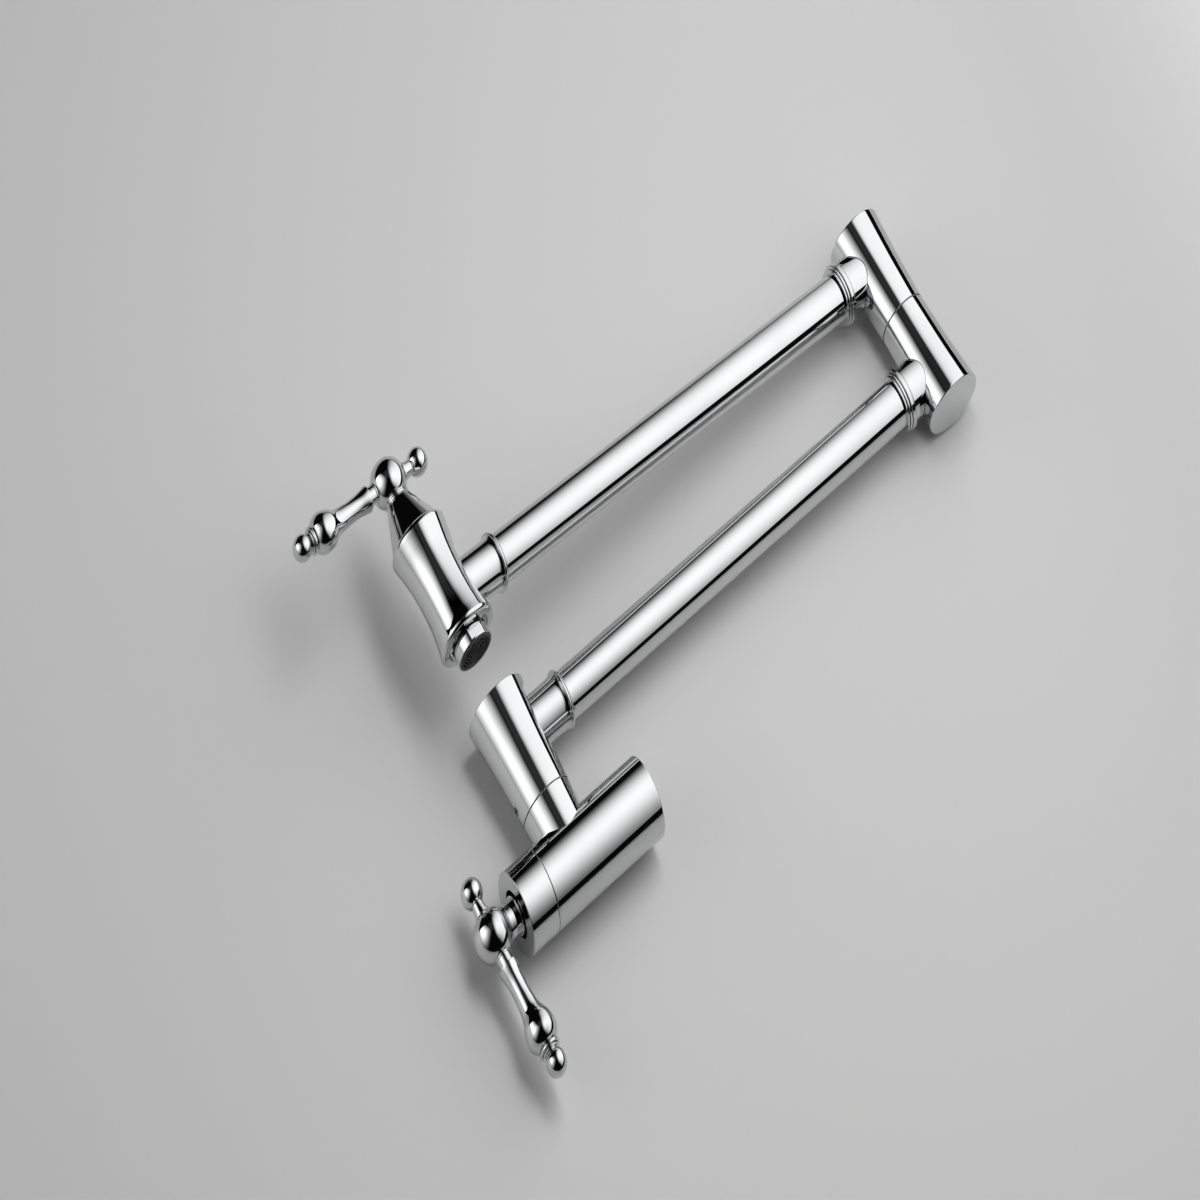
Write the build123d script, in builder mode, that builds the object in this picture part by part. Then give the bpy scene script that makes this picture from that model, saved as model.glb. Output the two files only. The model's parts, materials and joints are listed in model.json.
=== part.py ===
"""Wall mounted pot filler: a folding two-arm tap over a stove, with a quarter-turn valve at each end.

Millimetres, +Z up. The wall is the plane y = 0 and the object stands out from it towards -Y. The origin
is the middle of the inlet at the wall. The lower arm points along +Y and the upper arm is folded back
over it, turned a few degrees at the elbow, as the object lies in the photograph.
"""

import os
from math import cos, radians, sin, sqrt

from build123d import *

# ---- driving dimensions: arms -------------------------------------------------------------------------
tube_diameter = 22.0
tube_wall = 1.2
lower_reach = 319.0  # post axis to elbow axis
upper_reach = 329.0  # elbow axis to outlet axis
lower_height = 62.0  # axis of the lower tube above the inlet axis
arm_spacing = 60.4  # between the axes of the two tubes
fold_turn = 5.5  # degrees the upper arm is turned at the elbow from lying right above the lower one

# ---- driving dimensions: wall body ----------------------------------------------------------------------
body_diameter = 36.0
body_length = 75.0
cover_length = 18.0
post_stand_off = 51.0  # wall to the post axis
inlet_bore = 18.6  # core diameter of a half-inch pipe thread
inlet_depth = 15.0
collar_height = 28.4  # top of the fixed collar above the inlet axis
collar_foot_diameter = 31.0
spigot_diameter = 31.6  # threaded nose that carries the front cover
spigot_length = 8.0
cover_floor = 3.0
cover_hole = 20.4

# ---- driving dimensions: swivels ------------------------------------------------------------------------
post_seam_diameter = 32.6
knuckle_end_diameter = 38.6
elbow_seam_diameter = 31.4
elbow_end_diameter = 36.6
knuckle_hollow = 0.6  # how far a barrel's side dips inside the straight line between its ends
elbow_hollow = 0.4
knuckle_length = 51.4
elbow_half_length = 49.3
pivot_diameter = 18.0
pivot_bore = 10.8
pivot_height = 22.6  # pivot above the seam
pivot_thread = 16.0
pivot_thread_length = 11.0
pivot_flange = 21.0
pivot_flange_height = 2.0
screw_height = 7.7  # retaining screw above the seam
screw_diameter = 4.0
seal_section = 2.0
seal_heights = (12.6, 17.4)
washer_thickness = 0.6
barrel_way = 16.4  # bore of the barrels above or below a swivel
arm_way = 15.2  # bore of necks and sockets

# ---- driving dimensions: necks, sockets and rings -----------------------------------------------------------
neck_diameter = 23.6
neck_reach = 33.0  # barrel axis to the end of a neck
neck_ring_width = 2.6
neck_ring_diameter = 26.6
flat_reach = 12.4  # post axis to the milled flat round the neck
outlet_flat_reach = 11.2
flat_diameter = 35.6
socket_diameter = 25.2
socket_reach = 24.0
bead_width = 1.8
bead_gap = 0.6
bead_diameters = (27.0, 28.6, 27.0)
nipple_length = 9.0

# ---- driving dimensions: outlet ---------------------------------------------------------------------------
outlet_drop = 21.4  # tube axis down to the lower rim of the outlet body
outlet_rise = 33.6  # tube axis up to the top of the outlet body
outlet_rim_diameter = 36.4
outlet_top_diameter = 36.8
outlet_waist_diameter = 30.8
outlet_shoulder = 3.4  # rounding of the top edge
bonnet_base_diameter = 29.4
bonnet_top_diameter = 15.8
bonnet_height = 19.0
bonnet_skirt = 1.6
bonnet_bulge = 0.4  # how far the cone swells outside a straight line
bonnet_wall = 1.2
aerator_diameter = 22.8
aerator_flats = 21.2
aerator_drop = 7.4  # below the rim of the outlet body
aerator_thread = 20.6
aerator_thread_length = 6.0
recess_diameter = 27.4
recess_depth = 2.6
aerator_bore = 18.6
screen_thickness = 1.0
screen_ribs = 3
seat_bore = 9.0

# ---- driving dimensions: valve cartridges ---------------------------------------------------------------------
seat_to_flange = 43.0
thread_diameter = 20.8
thread_length = 15.0
chamber_diameter = 20.0
cage_diameter = 16.8
cage_bore = 14.0
cage_depth = 18.0
flange_flats = 20.0
flange_height = 4.0
guide_diameter = 10.8
guide_height = 4.0
spindle_diameter = 8.0
plate_thickness = 3.0
disc_thickness = 2.5
port_diameter = 4.6
port_circle = 7.6
seat_seal_thickness = 2.0
window_width = 8.0
window_height = 9.0
clip_diameter = 10.4
clip_thickness = 0.8

# ---- driving dimensions: handles --------------------------------------------------------------------------
hub_diameter = 22.6
wall_hub_stand_off = 16.4  # front of the cover to the hub's centre
outlet_hub_stand_off = 10.8  # top of the bonnet to the hub's centre
hub_rim_diameter = 15.8
hub_back = 9.1  # hub centre to its flat back
skirt_diameter = 14.8
wall_skirt_reach = 19.8  # hub centre to the end of the skirt, inside the front cover
outlet_skirt_reach = 10.4  # hub centre to the end of the skirt, just above the bonnet
skirt_flange_diameter = 17.1
skirt_flange_reach = 16.8
skirt_flange_width = 1.4
skirt_bore = 12.4
skirt_bore_depth = 3.6
stem_depth = 3.0  # how far below the hub's centre the spindle ends
stud_diameter = 5.0
stud_start = 5.5
seat_reach = 10.0  # hub centre to the flat seat of lever and finial
lever_neck_diameter = 9.0
lever_shoulder_reach = 15.4
lever_waist = ((5.8, 16.4), (4.9, 24.5), (5.0, 31.0))  # radius and reach from the hub centre
lever_bulb = ((5.9, 37.8), (8.3, 43.0), (9.2, 47.4), (7.6, 52.4), (4.9, 54.5))
lever_ring_diameter = 12.8
lever_ring_width = 1.8
lever_ball_diameter = 11.8
lever_ball_reach = 62.3
lever_ball_neck = 7.6
finial_neck_diameter = 8.4
finial_waist_diameter = 6.6
finial_base_width = 1.6
finial_ball_diameter = 13.0
finial_ball_reach = 21.2

# ---- clearances -----------------------------------------------------------------------------------------------
seated = 0.05  # radial room of a piece that is screwed or pressed into its seat
running = 0.08  # radial room of a pivot or spindle that turns in its bore
apart = 0.3  # room between faces that move past each other
edge = 0.5  # small broken edge

# ---- places worked out from the sizes ---------------------------------------------------------------------------
tube_radius = tube_diameter / 2
tube_bore_radius = tube_radius - tube_wall
nipple_radius = tube_bore_radius - seated
way_radius = barrel_way / 2
arm_way_radius = arm_way / 2
pivot_radius = pivot_diameter / 2
post_seam_radius = post_seam_diameter / 2
elbow_seam_radius = elbow_seam_diameter / 2
spindle_radius = spindle_diameter / 2
stack_width = len(bead_diameters) * bead_width + (len(bead_diameters) - 1) * bead_gap
upper_height = lower_height + arm_spacing
knuckle_foot = collar_height + washer_thickness
knuckle_top = knuckle_foot + knuckle_length
elbow_seam = (lower_height + upper_height) / 2 - washer_thickness / 2
elbow_foot = elbow_seam - elbow_half_length
elbow_split = elbow_seam + washer_thickness
elbow_top = elbow_split + elbow_half_length
wall_seat = body_length + spigot_length - seat_to_flange
cover_front = body_length + cover_length
outlet_foot = upper_height - outlet_drop
outlet_top = upper_height + outlet_rise
outlet_seat = outlet_top - seat_to_flange
bonnet_top = outlet_top + bonnet_height
spigot_end = body_length + spigot_length

UP = Vector(0, 0, 1)
SIDE = Vector(1, 0, 0)
WALL_OUT = Vector(0, -1, 0)
LOWER_OUT = Vector(0, 1, 0)
UPPER_BACK = Vector(sin(radians(fold_turn)), -cos(radians(fold_turn)), 0)
UPPER_SIDE = Vector(cos(radians(fold_turn)), sin(radians(fold_turn)), 0)

inlet_centre = Vector(0, 0, 0)
post_foot = WALL_OUT * post_stand_off
elbow_base = post_foot + LOWER_OUT * lower_reach
outlet_base = elbow_base + UPPER_BACK * upper_reach


def lathe(origin, axis, radial):
    """A plane for turned outlines: its x is the radius and its y runs along the turning axis."""
    return Plane(origin=origin, x_dir=radial, z_dir=radial.cross(axis))


def turning_axis(plane):
    return Axis(plane.origin, plane.y_dir)


def face_across(plane, along):
    """The plane square to a lathe's axis, at a distance along it."""
    return Plane(origin=plane.origin + plane.y_dir * along, x_dir=plane.x_dir, z_dir=plane.y_dir)


wall_lathe = lathe(inlet_centre, WALL_OUT, SIDE)
post_lathe = lathe(post_foot, UP, SIDE)
lower_lathe = lathe(post_foot + UP * lower_height, LOWER_OUT, SIDE)
lower_socket_lathe = lathe(elbow_base + UP * lower_height, -LOWER_OUT, SIDE)
elbow_lathe = lathe(elbow_base, UP, SIDE)
upper_socket_lathe = lathe(elbow_base + UP * upper_height, UPPER_BACK, UPPER_SIDE)
upper_neck_lathe = lathe(outlet_base + UP * upper_height, -UPPER_BACK, UPPER_SIDE)
outlet_lathe = lathe(outlet_base, UP, UPPER_SIDE)


def outline(plane, *corners):
    """A closed outline on a lathe, from (radius, along) corners."""
    with BuildSketch(plane) as section:
        with BuildLine():
            Polyline(*corners, close=True)
        make_face()
    return section.sketch


def band(plane, inner, outer, start, end):
    """The outline of a plain ring or cylinder between two radii and two places along the axis."""
    return outline(plane, (inner, start), (outer, start), (outer, end), (inner, end))


def barrel_outline(plane, start, end, start_radius, end_radius, hollow):
    """A tapered barrel whose side dips a little inside the straight line between its ends."""
    middle = (start + end) / 2
    waist = (start_radius + end_radius) / 2 - hollow
    with BuildSketch(plane) as section:
        with BuildLine():
            side = ThreePointArc((start_radius, start), (waist, middle), (end_radius, end))
            Polyline(side @ 1, (0, end), (0, start), side @ 0)
        make_face()
    return section.sketch


def bead_stack(plane, inner, start, diameters, width, gap, root):
    """A ring with rounded beads and narrow grooves between them."""
    with BuildSketch(plane) as section:
        with BuildLine():
            place = start
            for number, diameter in enumerate(diameters):
                if number:
                    Line((root, place), (root, place + gap))
                    place += gap
                crown = diameter / 2 - width / 2
                Line((root, place), (crown, place))
                ThreePointArc((crown, place), (diameter / 2, place + width / 2), (crown, place + width))
                Line((crown, place + width), (root, place + width))
                place += width
            Polyline((root, place), (inner, place), (inner, start), (root, start))
        make_face()
    return section.sketch


os.makedirs("parts", exist_ok=True)


def keep(piece, name):
    """Label a finished piece and write it to its own file."""
    piece.label = name
    export_step(piece, f"parts/{name}.step")


# ---- wall body: inlet, valve seat and the fixed collar of the first swivel ----------------------------------------
with BuildPart() as wall_body:
    revolve(
        outline(
            wall_lathe,
            (0, 0),
            (body_diameter / 2 - edge, 0),
            (body_diameter / 2, edge),
            (body_diameter / 2, body_length),
            (spigot_diameter / 2, body_length),
            (spigot_diameter / 2, spigot_end),
            (0, spigot_end),
        ),
        axis=turning_axis(wall_lathe),
    )
    revolve(
        outline(
            post_lathe,
            (0, 0),
            (collar_foot_diameter / 2, 0),
            (collar_foot_diameter / 2, body_diameter / 4),
            (post_seam_radius, collar_height),
            (0, collar_height),
        ),
        axis=turning_axis(post_lathe),
    )
    # inlet thread, water way, valve chamber and the thread of the cartridge
    revolve(
        outline(
            wall_lathe,
            (0, 0),
            (inlet_bore / 2, 0),
            (inlet_bore / 2, inlet_depth),
            (seat_bore / 2, inlet_depth + inlet_bore / 4),
            (seat_bore / 2, wall_seat),
            (chamber_diameter / 2, wall_seat),
            (chamber_diameter / 2, spigot_end - thread_length),
            (thread_diameter / 2 + seated, spigot_end - thread_length),
            (thread_diameter / 2 + seated, spigot_end),
            (0, spigot_end),
        ),
        axis=turning_axis(wall_lathe),
        mode=Mode.SUBTRACT,
    )
    # the way up to the swivel, with the thread that holds the pivot
    revolve(
        outline(
            post_lathe,
            (0, 0),
            (pivot_bore / 2, 0),
            (pivot_bore / 2, collar_height - pivot_thread_length),
            (pivot_thread / 2 + seated, collar_height - pivot_thread_length),
            (pivot_thread / 2 + seated, collar_height),
            (0, collar_height),
        ),
        axis=turning_axis(post_lathe),
        mode=Mode.SUBTRACT,
    )
keep(wall_body.part, "wall_body")

# ---- front cover over the cartridge of the wall valve ----------------------------------------------------------------
with BuildPart() as front_cover:
    revolve(
        outline(
            wall_lathe,
            (spigot_diameter / 2 + seated, body_length + apart),
            (body_diameter / 2, body_length + apart),
            (body_diameter / 2, cover_front - edge),
            (body_diameter / 2 - edge, cover_front),
            (cover_hole / 2, cover_front),
            (cover_hole / 2, cover_front - cover_floor),
            (spigot_diameter / 2 + seated, cover_front - cover_floor),
        ),
        axis=turning_axis(wall_lathe),
    )
keep(front_cover.part, "front_cover")


# ---- quarter-turn cartridges: the same insert in the wall valve and in the outlet --------------------------------------
def make_cartridge(prefix, plane, seat, hub_centre):
    """A ceramic disc cartridge that stands on its seat, and the spindle that reaches into the handle."""
    axis = turning_axis(plane)
    fixed_start = seat + seat_seal_thickness
    moving_start = fixed_start + disc_thickness + seated
    plate_start = moving_start + disc_thickness + seated
    flange_start = seat + seat_to_flange
    flange_end = flange_start + flange_height
    guide_end = flange_end + guide_height
    shaft_end = hub_centre - stem_depth

    with BuildPart() as cartridge_body:
        revolve(
            outline(
                plane,
                (0, fixed_start),
                (cage_diameter / 2, fixed_start),
                (cage_diameter / 2, flange_start - thread_length),
                (thread_diameter / 2, flange_start - thread_length),
                (thread_diameter / 2, flange_start),
                (guide_diameter / 2, flange_start),
                (guide_diameter / 2, guide_end),
                (0, guide_end),
            ),
            axis=axis,
        )
        with BuildSketch(face_across(plane, flange_start)):
            RegularPolygon(radius=flange_flats / 2, side_count=6, major_radius=False)
            Circle(thread_diameter / 2 + edge)
        extrude(amount=flange_height)
        with BuildSketch(face_across(plane, fixed_start)):
            Circle(cage_bore / 2)
        extrude(amount=cage_depth, mode=Mode.SUBTRACT)
        with BuildSketch(face_across(plane, fixed_start)):
            Circle(spindle_radius + running)
        extrude(amount=guide_end - fixed_start, mode=Mode.SUBTRACT)
        with BuildSketch(face_across(plane, moving_start + disc_thickness)):
            Rectangle(cage_diameter + edge, window_width)
        extrude(amount=window_height, mode=Mode.SUBTRACT)
    keep(cartridge_body.part, f"{prefix}_cartridge_body")

    with BuildPart() as seat_seal:
        revolve(band(plane, seat_bore / 2, cage_diameter / 2, seat, fixed_start), axis=axis)
    keep(seat_seal.part, f"{prefix}_seat_seal")

    with BuildPart() as fixed_disc:
        revolve(band(plane, 0, cage_bore / 2 - seated, fixed_start, fixed_start + disc_thickness), axis=axis)
        with BuildSketch(face_across(plane, fixed_start)):
            with PolarLocations(port_circle / 2, 2):
                Circle(port_diameter / 2)
        extrude(amount=disc_thickness, mode=Mode.SUBTRACT)
    keep(fixed_disc.part, f"{prefix}_fixed_disc")

    with BuildPart() as moving_disc:
        revolve(band(plane, 0, cage_bore / 2 - apart, moving_start, moving_start + disc_thickness), axis=axis)
        with BuildSketch(face_across(plane, moving_start)):
            with PolarLocations(port_circle / 2, 2, start_angle=90):
                Circle(port_diameter / 2)
        extrude(amount=disc_thickness, mode=Mode.SUBTRACT)
    keep(moving_disc.part, f"{prefix}_moving_disc")

    with BuildPart() as spindle:
        revolve(
            outline(
                plane,
                (0, plate_start),
                (cage_bore / 2 - apart, plate_start),
                (cage_bore / 2 - apart, plate_start + plate_thickness),
                (spindle_radius, plate_start + plate_thickness),
                (spindle_radius, shaft_end - edge),
                (spindle_radius - edge, shaft_end),
                (0, shaft_end),
            ),
            axis=axis,
        )
    keep(spindle.part, f"{prefix}_spindle")

    with BuildPart() as spindle_clip:
        clip_start = guide_end + seated
        inner = spindle_radius + seated
        revolve(band(plane, inner, clip_diameter / 2, clip_start, clip_start + clip_thickness), axis=axis)
    keep(spindle_clip.part, f"{prefix}_spindle_clip")


make_cartridge("wall", wall_lathe, wall_seat, cover_front + wall_hub_stand_off)
make_cartridge("outlet", outlet_lathe, outlet_seat, bonnet_top + outlet_hub_stand_off)


# ---- swivels: the same pivot, seals, washer and retaining screw at the post and at the elbow ----------------------------
def make_swivel(prefix, plane, seam, seam_radius, screw_side):
    """The hollow pivot that stands in the lower half, with what seals and holds the upper half on it."""
    axis = turning_axis(plane)
    tip = seam + pivot_height
    groove_radius = pivot_radius - seal_section

    with BuildPart() as pivot:
        revolve(
            outline(
                plane,
                (pivot_bore / 2, seam - pivot_thread_length),
                (pivot_thread / 2, seam - pivot_thread_length),
                (pivot_thread / 2, seam),
                (pivot_flange / 2, seam),
                (pivot_flange / 2, seam + pivot_flange_height),
                (pivot_radius, seam + pivot_flange_height),
                (pivot_radius, tip - edge),
                (pivot_radius - edge, tip),
                (pivot_bore / 2, tip),
            ),
            axis=axis,
        )
        screw_groove = screw_diameter / 2 + apart
        low = seam + screw_height - screw_groove
        high = seam + screw_height + screw_groove
        revolve(band(plane, groove_radius, pivot_flange, low, high), axis=axis, mode=Mode.SUBTRACT)
        for height in seal_heights:
            low = seam + height - seal_section / 2 - seated
            high = seam + height + seal_section / 2 + seated
            revolve(band(plane, groove_radius, pivot_flange, low, high), axis=axis, mode=Mode.SUBTRACT)
    keep(pivot.part, f"{prefix}_pivot")

    with BuildPart() as seals:
        for height in seal_heights:
            ring_radius = pivot_radius - seal_section / 2
            with BuildSketch(plane):
                with Locations((ring_radius, seam + height)):
                    Circle(seal_section / 2)
            revolve(axis=axis)
    keep(seals.part, f"{prefix}_seals")

    with BuildPart() as thrust_washer:
        inner = pivot_flange / 2 + 2 * apart
        revolve(band(plane, inner, seam_radius - edge, seam, seam + washer_thickness), axis=axis)
    keep(thrust_washer.part, f"{prefix}_thrust_washer")

    screw_tip = groove_radius + apart
    screw_head = seam_radius - 2 * edge
    screw_centre = plane.origin + plane.y_dir * (seam + screw_height)
    screw_plane = Plane(origin=screw_centre + screw_side * screw_tip, z_dir=screw_side)
    socket_plane = Plane(origin=screw_centre + screw_side * screw_head, z_dir=-screw_side)
    with BuildPart() as retaining_screw:
        with BuildSketch(screw_plane):
            Circle(screw_diameter / 2)
        extrude(amount=screw_head - screw_tip)
        with BuildSketch(socket_plane):
            RegularPolygon(radius=screw_diameter / 4, side_count=6, major_radius=False)
        extrude(amount=screw_diameter / 2, mode=Mode.SUBTRACT)
    keep(retaining_screw.part, f"{prefix}_retaining_screw")


make_swivel("post", post_lathe, collar_height, post_seam_radius, WALL_OUT)
make_swivel("elbow", elbow_lathe, elbow_seam, elbow_seam_radius, -UPPER_BACK)


def swivel_bore(plane, seam, chamber_end):
    """What is bored out of the upper half of a swivel: seat of the flange, bore of the pivot, chamber."""
    foot = seam + washer_thickness
    ledge = seam + pivot_flange_height + apart
    chamber_start = seam + pivot_height + 2 * edge
    return outline(
        plane,
        (0, foot),
        (pivot_flange / 2 + apart, foot),
        (pivot_flange / 2 + apart, ledge),
        (pivot_radius + running, ledge),
        (pivot_radius + running, chamber_start),
        (way_radius, chamber_start),
        (way_radius, chamber_end - way_radius / 2),
        (way_radius / 2, chamber_end),
        (0, chamber_end),
    )


def screw_hole(plane, seam, side):
    """The plane of a retaining screw's hole, at the swivel's axis."""
    return Plane(origin=plane.origin + plane.y_dir * (seam + screw_height), z_dir=side)


def neck_outline(plane):
    """A neck with the nipple that the tube is pushed over."""
    return outline(
        plane,
        (0, 0),
        (neck_diameter / 2, 0),
        (neck_diameter / 2, neck_reach),
        (nipple_radius, neck_reach),
        (nipple_radius, neck_reach + neck_ring_width + nipple_length),
        (0, neck_reach + neck_ring_width + nipple_length),
    )


def socket_outline(plane):
    """An elbow socket with the nipple that the tube is pushed over."""
    return outline(
        plane,
        (0, 0),
        (socket_diameter / 2, 0),
        (socket_diameter / 2, socket_reach),
        (nipple_radius, socket_reach),
        (nipple_radius, socket_reach + stack_width + nipple_length),
        (0, socket_reach + stack_width + nipple_length),
    )


# ---- lower arm: knuckle on the post, tube, and the lower half of the elbow ---------------------------------------------
with BuildPart() as post_knuckle:
    revolve(
        barrel_outline(
            post_lathe, knuckle_foot, knuckle_top, post_seam_radius, knuckle_end_diameter / 2, knuckle_hollow
        ),
        axis=turning_axis(post_lathe),
    )
    fillet(post_knuckle.edges().filter_by(GeomType.CIRCLE).sort_by(Axis.Z)[-1], edge)
    with BuildSketch(face_across(lower_lathe, flat_reach)):
        Circle(flat_diameter / 2)
    extrude(amount=knuckle_end_diameter, mode=Mode.SUBTRACT)
    revolve(neck_outline(lower_lathe), axis=turning_axis(lower_lathe))
    revolve(
        swivel_bore(post_lathe, collar_height, lower_height + 1.2 * way_radius),
        axis=turning_axis(post_lathe),
        mode=Mode.SUBTRACT,
    )
    with BuildSketch(face_across(lower_lathe, 0)):
        Circle(arm_way_radius)
    extrude(amount=neck_reach + neck_ring_width + nipple_length, mode=Mode.SUBTRACT)
    with BuildSketch(screw_hole(post_lathe, collar_height, WALL_OUT)):
        Circle(screw_diameter / 2 + seated)
    extrude(amount=knuckle_end_diameter, mode=Mode.SUBTRACT)
keep(post_knuckle.part, "post_knuckle")

with BuildPart() as elbow_lower:
    revolve(
        barrel_outline(
            elbow_lathe, elbow_foot, elbow_seam, elbow_end_diameter / 2, elbow_seam_radius, elbow_hollow
        ),
        axis=turning_axis(elbow_lathe),
    )
    fillet(elbow_lower.edges().filter_by(GeomType.CIRCLE).sort_by(Axis.Z)[0], edge)
    revolve(socket_outline(lower_socket_lathe), axis=turning_axis(lower_socket_lathe))
    revolve(
        outline(
            elbow_lathe,
            (0, lower_height - 1.2 * way_radius),
            (way_radius / 2, lower_height - 1.2 * way_radius),
            (way_radius, lower_height - 0.7 * way_radius),
            (way_radius, elbow_seam - pivot_thread_length - edge),
            (pivot_bore / 2, elbow_seam - pivot_thread_length),
            (pivot_thread / 2 + seated, elbow_seam - pivot_thread_length),
            (pivot_thread / 2 + seated, elbow_seam),
            (0, elbow_seam),
        ),
        axis=turning_axis(elbow_lathe),
        mode=Mode.SUBTRACT,
    )
    with BuildSketch(face_across(lower_socket_lathe, 0)):
        Circle(arm_way_radius)
    extrude(amount=socket_reach + stack_width + nipple_length, mode=Mode.SUBTRACT)
keep(elbow_lower.part, "elbow_lower")

# ---- upper arm: upper half of the elbow and the body of the outlet -----------------------------------------------------
with BuildPart() as elbow_upper:
    revolve(
        barrel_outline(
            elbow_lathe, elbow_split, elbow_top, elbow_seam_radius, elbow_end_diameter / 2, elbow_hollow
        ),
        axis=turning_axis(elbow_lathe),
    )
    fillet(elbow_upper.edges().filter_by(GeomType.CIRCLE).sort_by(Axis.Z)[-1], edge)
    revolve(socket_outline(upper_socket_lathe), axis=turning_axis(upper_socket_lathe))
    revolve(
        swivel_bore(elbow_lathe, elbow_seam, upper_height + 1.2 * way_radius),
        axis=turning_axis(elbow_lathe),
        mode=Mode.SUBTRACT,
    )
    with BuildSketch(face_across(upper_socket_lathe, 0)):
        Circle(arm_way_radius)
    extrude(amount=socket_reach + stack_width + nipple_length, mode=Mode.SUBTRACT)
    with BuildSketch(screw_hole(elbow_lathe, elbow_seam, -UPPER_BACK)):
        Circle(screw_diameter / 2 + seated)
    extrude(amount=elbow_end_diameter, mode=Mode.SUBTRACT)
keep(elbow_upper.part, "elbow_upper")

with BuildPart() as outlet_body:
    rim_edge = 3 * edge
    with BuildSketch(outlet_lathe):
        with BuildLine():
            waist = (outlet_waist_diameter / 2, (outlet_foot + outlet_top) / 2)
            low_side = (outlet_rim_diameter / 2, outlet_foot + rim_edge)
            high_side = (outlet_top_diameter / 2, outlet_top - outlet_shoulder)
            side = ThreePointArc(low_side, waist, high_side)
            shoulder_end = (outlet_top_diameter / 2 - outlet_shoulder, outlet_top)
            shoulder = RadiusArc(side @ 1, shoulder_end, -outlet_shoulder)
            foot = RadiusArc((outlet_rim_diameter / 2 - rim_edge, outlet_foot), side @ 0, -rim_edge)
            Polyline(shoulder @ 1, (0, outlet_top), (0, outlet_foot), foot @ 0)
        make_face()
    revolve(axis=turning_axis(outlet_lathe))
    with BuildSketch(face_across(upper_neck_lathe, outlet_flat_reach)):
        Circle(flat_diameter / 2)
    extrude(amount=outlet_top_diameter, mode=Mode.SUBTRACT)
    revolve(neck_outline(upper_neck_lathe), axis=turning_axis(upper_neck_lathe))
    # chamber and thread of the cartridge, seat, water way and the thread of the aerator
    revolve(
        outline(
            outlet_lathe,
            (0, outlet_foot),
            (recess_diameter / 2, outlet_foot),
            (recess_diameter / 2, outlet_foot + recess_depth),
            (aerator_thread / 2 + seated, outlet_foot + recess_depth),
            (aerator_thread / 2 + seated, outlet_foot + recess_depth + aerator_thread_length),
            (seat_bore / 2, outlet_foot + recess_depth + aerator_thread_length),
            (seat_bore / 2, outlet_seat),
            (chamber_diameter / 2, outlet_seat),
            (chamber_diameter / 2, outlet_top - thread_length),
            (thread_diameter / 2 + seated, outlet_top - thread_length),
            (thread_diameter / 2 + seated, outlet_top),
            (0, outlet_top),
        ),
        axis=turning_axis(outlet_lathe),
        mode=Mode.SUBTRACT,
    )
    with BuildSketch(face_across(upper_neck_lathe, 0)):
        Circle(arm_way_radius)
    extrude(amount=neck_reach + neck_ring_width + nipple_length, mode=Mode.SUBTRACT)
keep(outlet_body.part, "outlet_body")


# ---- tubes and the rings at their ends: both arms -------------------------------------------------------------------
def make_tube(prefix, neck_plane, socket_plane, reach):
    """A tube between a neck ring and an elbow collar, each threaded over the nipple that the tube covers."""
    tube_start = neck_reach + neck_ring_width
    tube_end = reach - socket_reach - stack_width

    with BuildPart() as tube:
        revolve(band(neck_plane, tube_bore_radius, tube_radius, tube_start, tube_end), axis=turning_axis(neck_plane))
    keep(tube.part, f"{prefix}_tube")

    with BuildPart() as neck_ring:
        root = neck_diameter / 2
        ring = bead_stack(
            neck_plane, tube_bore_radius, neck_reach, (neck_ring_diameter,), neck_ring_width, 0, root
        )
        revolve(ring, axis=turning_axis(neck_plane))
    keep(neck_ring.part, f"{prefix}_neck_ring")

    with BuildPart() as collar:
        root = socket_diameter / 2 - edge
        stack = bead_stack(
            socket_plane, tube_bore_radius, socket_reach, bead_diameters, bead_width, bead_gap, root
        )
        revolve(stack, axis=turning_axis(socket_plane))
    keep(collar.part, f"{prefix}_elbow_collar")


make_tube("lower", lower_lathe, lower_socket_lathe, lower_reach)
make_tube("upper", upper_neck_lathe, upper_socket_lathe, upper_reach)

# ---- outlet: bonnet and aerator -----------------------------------------------------------------------------------
with BuildPart() as outlet_bonnet:
    skirt_end = outlet_top + bonnet_skirt
    flange_room = flange_flats / sqrt(3) + 2 * apart
    cavity_end = outlet_top + flange_height + guide_height
    hole_radius = spindle_radius + 2 * apart
    inner_radius = bonnet_base_diameter / 2 - bonnet_wall
    clip_room = clip_diameter / 2 + 2 * apart
    middle = (bonnet_base_diameter + bonnet_top_diameter) / 4 + bonnet_bulge
    with BuildSketch(outlet_lathe):
        with BuildLine():
            side = ThreePointArc(
                (bonnet_base_diameter / 2, skirt_end),
                (middle, (skirt_end + bonnet_top) / 2),
                (bonnet_top_diameter / 2, bonnet_top),
            )
            Polyline(
                side @ 1,
                (hole_radius, bonnet_top),
                (hole_radius, bonnet_top - 2 * bonnet_wall),
                (clip_room, bonnet_top - 3 * bonnet_wall),
                (clip_room, cavity_end + 2 * clip_thickness),
                (flange_room, outlet_top + flange_height + edge),
                (inner_radius, outlet_top + edge),
                (inner_radius, outlet_top),
                (bonnet_base_diameter / 2, outlet_top),
                side @ 0,
            )
        make_face()
    revolve(axis=turning_axis(outlet_lathe))
keep(outlet_bonnet.part, "outlet_bonnet")

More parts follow.
